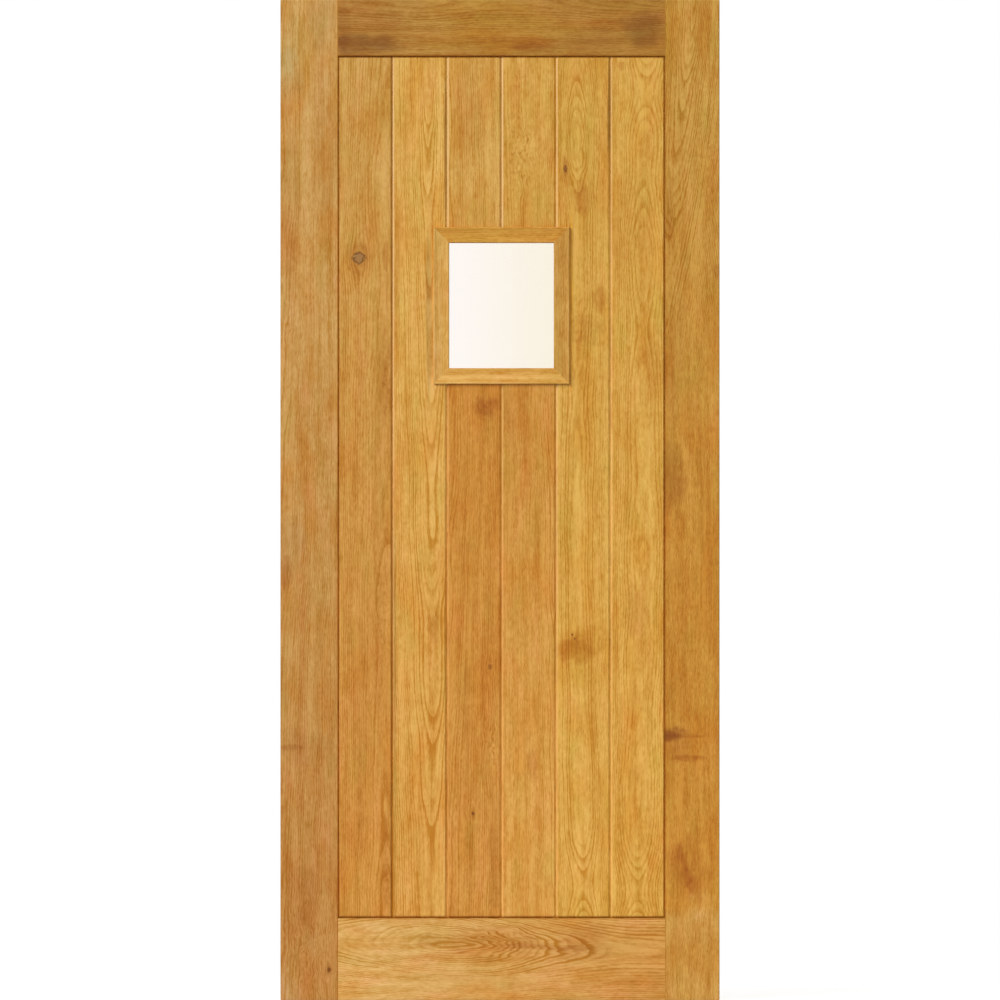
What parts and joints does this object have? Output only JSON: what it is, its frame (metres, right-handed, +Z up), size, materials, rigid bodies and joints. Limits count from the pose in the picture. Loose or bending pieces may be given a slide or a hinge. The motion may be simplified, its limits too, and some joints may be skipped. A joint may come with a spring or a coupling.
{
  "type": "boarded front door leaf",
  "caption": "Framed and boarded oak exterior door leaf with vee-jointed upright boards and a small glazed window; hangs in a door lining.",
  "frame": {"origin": "middle of the leaf's bottom edge, midway across its width and its thickness", "axes": "+Z up along the height, +X to the right when seen from outside, and the outer face looks along -Y"},
  "size_m": [0.869, 0.055, 1.981],
  "materials": {
    "left_stile": "oiled oak, satin",
    "right_stile": "oiled oak, satin",
    "top_rail": "oiled oak, satin",
    "bottom_rail": "oiled oak, satin",
    "front_boards": "oiled oak, satin",
    "back_boards": "oiled oak, satin",
    "window_beads": "oiled oak, satin",
    "hidden_oak": "sawn oak, bare",
    "glass": "clear float glass",
    "spacer": "satin",
    "sealant": "matte",
    "glazing_tape": "matte foam tape",
    "setting_blocks": "matte",
    "insulation": "rigid foam board"
  },
  "bodies": {
    "root": {"left_stile": "left_stile", "right_stile": "right_stile", "top_rail": "top_rail", "bottom_rail": "bottom_rail", "front_board_1": "front_boards", "front_board_2": "front_boards", "front_board_3_lower": "front_boards", "front_board_3_upper": "front_boards", "front_board_4_lower": "front_boards", "front_board_4_upper": "front_boards", "front_board_5": "front_boards", "front_board_6": "front_boards", "back_board_1": "back_boards", "back_board_2": "back_boards", "back_board_3_lower": "back_boards", "back_board_3_upper": "back_boards", "back_board_4_lower": "back_boards", "back_board_4_upper": "back_boards", "back_board_5": "back_boards", "back_board_6": "back_boards", "front_bead_top": "window_beads", "front_bead_bottom": "window_beads", "front_bead_left": "window_beads", "front_bead_right": "window_beads", "back_bead_top": "window_beads", "back_bead_bottom": "window_beads", "back_bead_left": "window_beads", "back_bead_right": "window_beads", "outer_pane": "glass", "inner_pane": "glass", "spacer_frame": "spacer", "edge_sealant": "sealant", "outer_glazing_tape": "glazing_tape", "inner_glazing_tape": "glazing_tape", "setting_blocks": "setting_blocks", "window_head_ledge": "hidden_oak", "window_sill_ledge": "hidden_oak", "middle_ledge": "hidden_oak", "left_window_trimmer": "hidden_oak", "right_window_trimmer": "hidden_oak", "top_insulation": "insulation", "left_insulation": "insulation", "right_insulation": "insulation", "middle_insulation": "insulation", "bottom_insulation": "insulation"}
  },
  "joints": []
}
